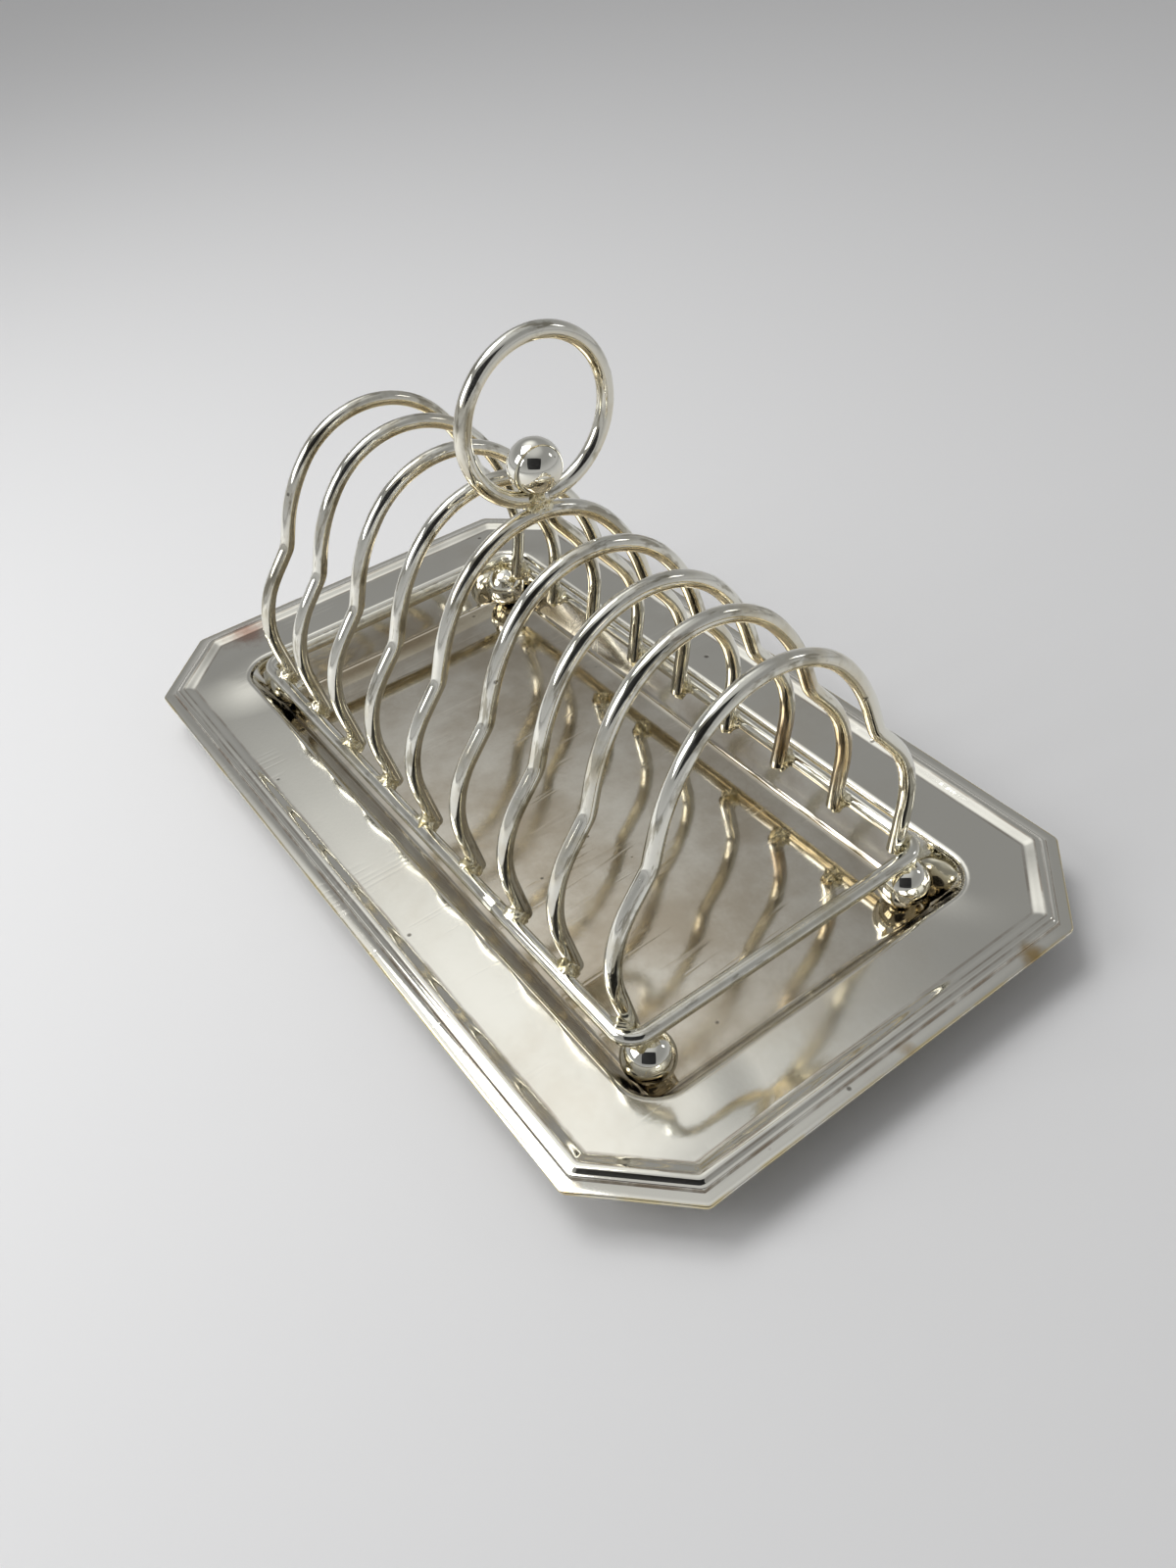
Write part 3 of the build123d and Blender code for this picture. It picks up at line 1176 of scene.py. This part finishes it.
@dataclass
class RingHandle:
    """A wire ring standing on the middle arch, butt-jointed at its foot."""

    plan: RackPlan
    seam_turn: float = 0.8              # degrees that each side of the seam takes up
    seam_squeeze: float = 0.94
    sway: Waver = Waver(0.15 * MM, 30 * MM)

    def build(self, material: bpy.types.Material) -> bpy.types.Object:
        """Bend the ring and put it on the rack.

        Args:
            material: Finish of the wires.

        Returns:
            The finished piece.
        """
        radius = self.plan.ring_radius
        start = self.plan.ring - Vector((0, 0, radius))
        wire = Wire(start, Vector((0, 1, 0)), Vector((1, 0, 0)), self.plan.wire)
        wire.swell(self.seam_squeeze)
        wire.bend(radius, self.seam_turn, parts=1)
        wire.swell(1 / self.seam_squeeze)
        wire.bend(radius, 360 - 2 * self.seam_turn, parts=100)
        wire.bend(radius, self.seam_turn, parts=1)
        wire.swell(self.seam_squeeze)
        wire.weld()
        self.sway.on(wire.bm, seed=21)
        return on_rack(wire.shaded(), "ring_wire", material, "ring_handle")


@dataclass
class Balls:
    """The handle's ball and the four feet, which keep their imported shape."""

    nodes: tuple[str, ...] = ("handle_ball", *FEET)

    def dress(self, packed: dict[str, bpy.types.Object], material: bpy.types.Material) -> None:
        """Give every ball its finish.

        Args:
            packed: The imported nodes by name.
            material: Finish of the balls.
        """
        for node in self.nodes:
            ball = packed[node]
            ball.data.materials.clear()
            ball.data.materials.append(material)
            log.info("%s keeps its packed shape", node)


# --- solder --------------------------------------------------------------------------------


class Metal(Protocol):
    """A wire or a ball that solder wets."""

    def distance(self, point: Vector) -> float:
        """How far a point lies outside the metal."""


@dataclass(frozen=True)
class StraightWire:
    """A straight stretch of wire that solder runs along."""

    place: Vector
    heading: Vector
    radius: float

    def distance(self, point: Vector) -> float:
        """How far a point lies outside the wire."""
        away = point - self.place
        return (away - self.heading * away.dot(self.heading)).length - self.radius


@dataclass(frozen=True)
class BentWire:
    """A wire bent to a circle across the rack, such as the ring or the dome of an arch."""

    centre: Vector
    bend: float
    radius: float

    def distance(self, point: Vector) -> float:
        """How far a point lies outside the wire."""
        away = point - self.centre
        return math.hypot(math.hypot(away.y, away.z) - self.bend, away.x) - self.radius


@dataclass(frozen=True)
class Ball:
    """A ball that solder holds."""

    centre: Vector
    radius: float

    def distance(self, point: Vector) -> float:
        """How far a point lies outside the ball."""
        return (point - self.centre).length - self.radius


@dataclass(frozen=True)
class Bead:
    """How one bead of solder ran."""

    flow: float                         # how wide it rounds the corner between the metals
    reach: float                        # how far it runs
    lumps: float                        # height of its lumps
    film: float = 0.05 * MM             # it ends this far under the surface that it wets
    swell: float = 0.5                  # largest share by which flow and reach differ round it
    swell_waves: float = 2.1
    swell_shift: float = 900.0          # waves per metre between beads, so that they differ
    lump_waves: float = 3.3
    lump_shift: float = 700.0
    steps: int = 24                     # steps that its reach is searched in

    def run(self, bm: bmesh.types.BMesh, at: Vector, metals: list[Metal]) -> None:
        """Run the bead from a point out to the surface that blends the metals round it.

        Args:
            bm: Mesh that the bead is added to.
            at: Middle of the bead, between the metals.
            metals: The wires and balls that it joins.
        """
        made = bmesh.ops.create_icosphere(bm, subdivisions=4, radius=1.0, matrix=Matrix.Translation(at))
        for vert in made["verts"]:
            ray = (vert.co - at).normalized()
            swell = 1 + self.swell * noise.noise(vert.co * self.swell_waves + at * self.swell_shift)
            out = self._surface(at, ray, metals, swell)
            lump = self.lumps * noise.noise(ray * self.lump_waves + at * self.lump_shift)
            vert.co = at + ray * (out + lump)

    def _surface(self, at: Vector, ray: Vector, metals: list[Metal], swell: float) -> float:
        """Search for the solder's surface along a ray.

        Args:
            at: Middle of the bead.
            ray: Direction of the ray.
            metals: The wires and balls that it joins.
            swell: Factor on its flow and reach.

        Returns:
            How far away the surface lies.
        """
        flow, reach = self.flow * swell, self.reach * swell
        out, step = 0.0, reach / self.steps
        while out < reach:
            point = at + ray * (out + step)
            near = sorted(metal.distance(point) for metal in metals)
            overlap = max(flow - (near[1] - near[0]), 0.0) / flow
            if near[0] - overlap * overlap * flow / 4 > -self.film:
                break
            out += step
        return out


@dataclass
class Solder:
    """Beads of solder that run into the corners between wires and balls."""

    plan: RackPlan
    shape: ArchShape
    leg_bead: Bead = Bead(3.2 * MM, 3.4 * MM, 0.3 * MM)
    foot_bead: Bead = Bead(2.2 * MM, 3.0 * MM, 0.15 * MM)
    ring_bead: Bead = Bead(3.0 * MM, 3.6 * MM, 0.2 * MM)
    ball_bead: Bead = Bead(2.4 * MM, 3.2 * MM, 0.15 * MM)
    raised: float = 0.2 * MM            # beads on the rails start this far above the touching point

    def build(self, material: bpy.types.Material) -> list[bpy.types.Object]:
        """Run every bead and put it on the rack.

        Args:
            material: Finish of the solder.

        Returns:
            The finished pieces.
        """
        legs = [self._leg_beads(side, material) for side in Side]
        return [*legs, self._foot_beads(material), self._handle_beads(material)]

    def _piece(
        self, bm: bmesh.types.BMesh, name: str, material: bpy.types.Material, node: str
    ) -> bpy.types.Object:
        """Even the beads out a little, shade them smooth and put them on the rack.

        Args:
            bm: Mesh of the beads.
            name: Name of the piece.
            material: Finish of the solder.
            node: The CAD node that it stands for.

        Returns:
            The finished piece.
        """
        bmesh.ops.smooth_vert(
            bm, verts=bm.verts, factor=0.5, use_axis_x=True, use_axis_y=True, use_axis_z=True,
        )
        for face in bm.faces:
            face.smooth = True
        return on_rack(bm, name, material, node)

    def _leg_beads(self, side: Side, material: bpy.types.Material) -> bpy.types.Object:
        """Run the beads at the feet of all arches along one long rail.

        Args:
            side: The side of the rail.
            material: Finish of the solder.

        Returns:
            The finished piece.
        """
        plan, shape = self.plan, self.shape
        bm = bmesh.new()
        slope = math.radians(shape.leg_angle)
        rail = StraightWire(Vector((0, side.value * plan.rail_y, plan.rail_z)), Vector((1, 0, 0)), plan.wire)
        foot_y = plan.rail_y - 2 * plan.wire / math.cos(slope)
        for number in range(1, plan.arches + 1):
            lean = math.radians(shape.leans[number - 1])
            foot = Vector((plan.arch_x(number), side.value * foot_y, plan.rail_z))
            up = Vector((-math.sin(lean), side.value * math.sin(slope), math.cos(slope))).normalized()
            at = foot + Vector((0, side.value * plan.wire, self.raised))
            self.leg_bead.run(bm, at, [rail, StraightWire(foot, up, plan.wire)])
        name = side.name.lower()
        return self._piece(bm, f"arch_beads_{name}", material, f"arch_solder_{name}")

    def _foot_beads(self, material: bpy.types.Material) -> bpy.types.Object:
        """Run the beads between the base frame and its four ball feet.

        Args:
            material: Finish of the solder.

        Returns:
            The finished piece.
        """
        plan = self.plan
        bm = bmesh.new()
        for node in FEET:
            low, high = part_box(node)
            radius = (high.x - low.x) / 2
            centre = Vector(((low.x + high.x) / 2, (low.y + high.y) / 2, low.z + radius))
            rail_x = plan.near_x if centre.x > 0 else plan.far_x
            rail = StraightWire(Vector((rail_x, 0, plan.rail_z)), Vector((0, 1, 0)), plan.wire)
            at = Vector(((rail_x + centre.x) / 2, centre.y, plan.rail_z - plan.wire + self.raised))
            self.foot_bead.run(bm, at, [rail, Ball(centre, radius)])
        return self._piece(bm, "foot_beads", material, "foot_solder")

    def _handle_beads(self, material: bpy.types.Material) -> bpy.types.Object:
        """Run the beads between the middle arch, the ring and its ball.

        Args:
            material: Finish of the solder.

        Returns:
            The finished piece.
        """
        plan = self.plan
        bm = bmesh.new()
        dome = Vector((0, 0, plan.dome_top - self.shape.dome_radius))
        arch = BentWire(dome, self.shape.dome_radius, plan.wire)
        ring = BentWire(plan.ring, plan.ring_radius, plan.wire)
        low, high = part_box("handle_ball")
        radius = (high.y - low.y) / 2
        ball = Ball(Vector((0, (low.y + high.y) / 2, high.z - radius)), radius)
        at = dome + (plan.ring - dome).normalized() * (self.shape.dome_radius + plan.wire)
        self.ring_bead.run(bm, at, [arch, ring])
        seat = plan.ring + (ball.centre - plan.ring).normalized() * (plan.ring_radius - plan.wire)
        self.ball_bead.run(bm, seat, [ring, ball])
        return self._piece(bm, "handle_beads", material, "handle_solder")


# --- studio --------------------------------------------------------------------------------


def plain_material(name: str, colour: Colour, roughness: float) -> bpy.types.Material:
    """Make a material of one colour.

    Args:
        name: Name of the material.
        colour: Its colour.
        roughness: Its roughness.

    Returns:
        The new material.
    """
    material = bpy.data.materials.new(name)
    material.use_nodes = True
    shader = material.node_tree.nodes["Principled BSDF"]
    shader.inputs["Base Color"].default_value = rgba(colour)
    shader.inputs["Roughness"].default_value = roughness
    return material


@dataclass(frozen=True)
class Lamp:
    """A soft rectangular lamp aimed at the rack."""

    name: str
    azimuth: float                      # degrees from +X towards +Y, where the lamp stands
    elevation: float
    away: float
    width: float
    height: float
    watts: float

    def hang(self, target: Vector) -> None:
        """Hang the lamp facing its target.

        Args:
            target: The point that it is aimed at.
        """
        way = towards(self.azimuth, self.elevation)
        light = bpy.data.lights.new(self.name, "AREA")
        light.shape = "RECTANGLE"
        light.size, light.size_y = self.width, self.height
        light.energy = self.watts
        lamp = bpy.data.objects.new(self.name, light)
        lamp.location = target + way * self.away
        lamp.rotation_euler = way.to_track_quat("Z", "Y").to_euler()
        bpy.context.scene.collection.objects.link(lamp)


@dataclass
class Studio:
    """Pale table, soft lamps, a dark card behind the camera, and the camera itself."""

    stand: Place = (0.21577, -0.12907, 0.23201)
    azimuth: float = 57.722
    elevation: float = 42.369
    roll: float = -6.015
    lens: float = 27.97
    table: float = 3.0
    table_gap: float = 0.1 * MM
    table_colour: Colour = (0.80, 0.80, 0.805)
    card_size: tuple[float, float] = (0.54, 0.44)
    card_back: float = 0.25
    card_down: float = 0.03
    card_colour: Colour = (0.01, 0.01, 0.012)
    tent_foot: Colour = (0.44, 0.44, 0.445)
    tent_wall: Colour = (0.28, 0.28, 0.28)
    tent_roof: Colour = (0.55, 0.55, 0.55)
    glow: Colour = (1.0, 1.0, 0.99)
    glow_azimuth: float = 162.0         # the tent's bright side, which the flat metal mirrors
    glow_elevation: float = 56.0
    glow_reach: float = 25.0            # degrees from its middle to its edge
    glow_core: float = 3.0              # degrees from its middle that are fully bright
    lamp_target: float = 0.03           # height above the middle of the table
    lamps: tuple[Lamp, ...] = (
        Lamp("key_lamp", 214, 66, 0.95, 0.5, 0.45, 3.6),
        Lamp("window_lamp", 63, 30, 1.1, 0.14, 0.2, 0.16),
        Lamp("side_lamp", 252, 35, 0.7, 0.4, 0.3, 1.7),
    )

    def build(self) -> None:
        """Set up the table, the light and the camera."""
        self._table()
        self._world()
        self._card()
        for lamp in self.lamps:
            lamp.hang(Vector((0, 0, self.lamp_target)))
        self._camera()
        bpy.context.scene.view_settings.view_transform = "Standard"

    def _axes(self) -> tuple[Vector, Vector, Vector]:
        """Work out how the camera stands.

        Returns:
            Its right, up and backward directions.
        """
        back = towards(self.azimuth - 90, self.elevation)
        level = towards(self.azimuth, 0)
        right = Matrix.Rotation(math.radians(self.roll), 3, back) @ level
        return right, back.cross(right), back

    def _camera(self) -> None:
        """Stand the camera and make it the scene's."""
        data = bpy.data.cameras.new("camera")
        data.lens = self.lens
        data.sensor_width = 36.0
        data.clip_start = 0.01
        camera = bpy.data.objects.new("camera", data)
        axes = Matrix(self._axes()).transposed().to_4x4()
        camera.matrix_world = Matrix.Translation(self.stand) @ axes
        bpy.context.scene.collection.objects.link(camera)
        bpy.context.scene.camera = camera

    def _table(self) -> None:
        """Lay a wide matt table top just under the tray."""
        bm = bmesh.new()
        bmesh.ops.create_grid(bm, x_segments=1, y_segments=1, size=self.table)
        table = as_piece(bm, "table", plain_material("table_white", self.table_colour, 0.75))
        table.location.z = -self.table_gap

    def _card(self) -> None:
        """Stand a black card behind the camera, which gives the polished metal its dark lines."""
        bm = bmesh.new()
        right, up, back = self._axes()
        place = Matrix((right, up, back)).transposed().to_4x4()
        place.translation = Vector(self.stand) + back * self.card_back - up * self.card_down
        size = Matrix.Diagonal((*self.card_size, 1, 1))
        bmesh.ops.create_grid(bm, x_segments=1, y_segments=1, size=0.5, matrix=place @ size)
        card = as_piece(bm, "dark_card", plain_material("card_black", self.card_colour, 0.5))
        card.visible_camera = False

    def _world(self) -> None:
        """Put a pale grey tent round everything, with a soft glow on one side overhead."""
        world = bpy.data.worlds.new("surroundings")
        world.use_nodes = True
        tree = Tree(world.node_tree)
        way = tree.add("ShaderNodeTexCoord").outputs["Generated"]
        middle = tuple(towards(self.glow_azimuth, self.glow_elevation))
        off = tree.maths("ARCCOSINE", tree.vectors("DOT_PRODUCT", way, middle).outputs["Value"])
        glow = tree.between(off, math.radians(self.glow_reach), math.radians(self.glow_core))
        height = tree.height(way)
        wall = tree.blend(tree.between(height, 0.0, 0.5), rgba(self.tent_foot), rgba(self.tent_wall))
        roof = tree.blend(tree.between(height, 0.75, 1.0), wall, rgba(self.tent_roof))
        colour = tree.blend(glow, roof, rgba(self.glow))
        world.node_tree.links.new(colour, world.node_tree.nodes["Background"].inputs["Color"])
        bpy.context.scene.world = world


def main() -> None:
    """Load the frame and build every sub-assembly in order."""
    logging.basicConfig(level=logging.INFO, format="%(name)s: %(message)s")
    noise.seed_set(NOISE_SEED)
    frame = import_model()
    finishes = Finishes(*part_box("tray"))
    plan = RackPlan()
    shape = ArchShape()
    Tray(*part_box("tray")).build(finishes.tray)
    BaseFrame(plan).build(finishes.rail)
    Arches(plan, shape).build(finishes.wire)
    RingHandle(plan).build(finishes.wire)
    Solder(plan, shape).build(finishes.solder)
    Balls().dress(frame["nodes"], finishes.ball)
    Studio().build()


if __name__ == "__main__":
    main()
